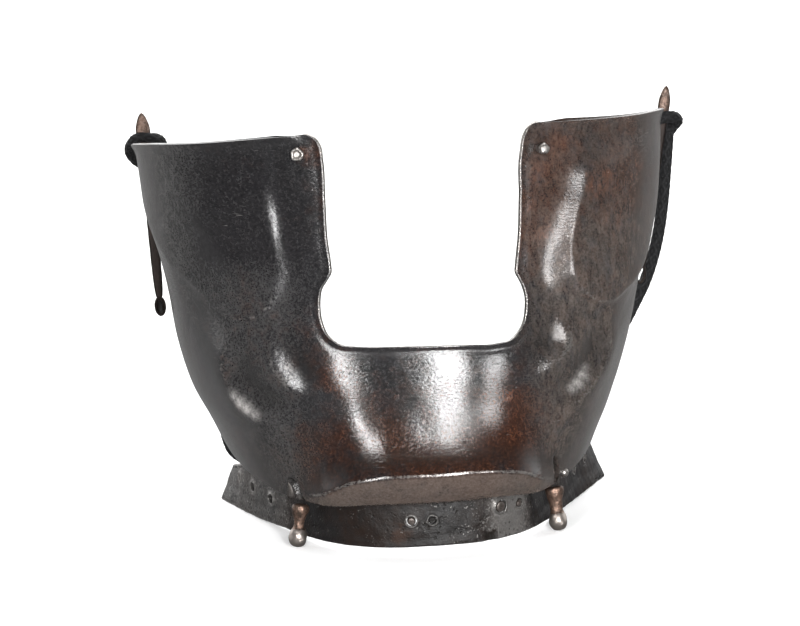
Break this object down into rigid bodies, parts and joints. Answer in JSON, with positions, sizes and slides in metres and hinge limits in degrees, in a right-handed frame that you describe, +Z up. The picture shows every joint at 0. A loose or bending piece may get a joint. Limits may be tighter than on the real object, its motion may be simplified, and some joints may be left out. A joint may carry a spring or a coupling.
{
  "type": "samurai half face mask",
  "caption": "Forged iron samurai half mask: cheeks and chin in one beaten sheet, open at nose and mouth, with neck plate, chin posts, nose studs, side strips and black chin cord.",
  "frame": {"origin": "on the table under the middle of the metal's bounding box, the mask standing upright on its chin posts and neck plate", "axes": "+Z up from the chin to the cheeks' top edges; -Y is the way the face looks; +X is on a viewer's right when the mask is seen from the front"},
  "size_m": [0.1626, 0.1201, 0.1149],
  "materials": {
    "forged_iron": "dark russet patina, worn and burnished on the raised parts",
    "brown_iron": "brown patina, handled smooth",
    "worn_iron": "bare iron worn bright",
    "black_cord": "black braided silk"
  },
  "bodies": {
    "root": {"face_shell": "forged_iron", "neck_plate": "forged_iron", "chin_post_left": "brown_iron", "chin_post_right": "brown_iron", "cord_strip_left": "brown_iron", "cord_strip_right": "brown_iron", "nose_stud_left": "worn_iron", "nose_stud_right": "worn_iron", "plate_rivet_1": "worn_iron", "plate_rivet_2": "worn_iron", "plate_rivet_3": "worn_iron", "post_rivet_right": "worn_iron", "post_tang_left": "worn_iron", "post_tang_right": "worn_iron", "chin_cord": "black_cord", "cord_knot_left": "black_cord", "cord_knot_right": "black_cord"}
  },
  "joints": []
}
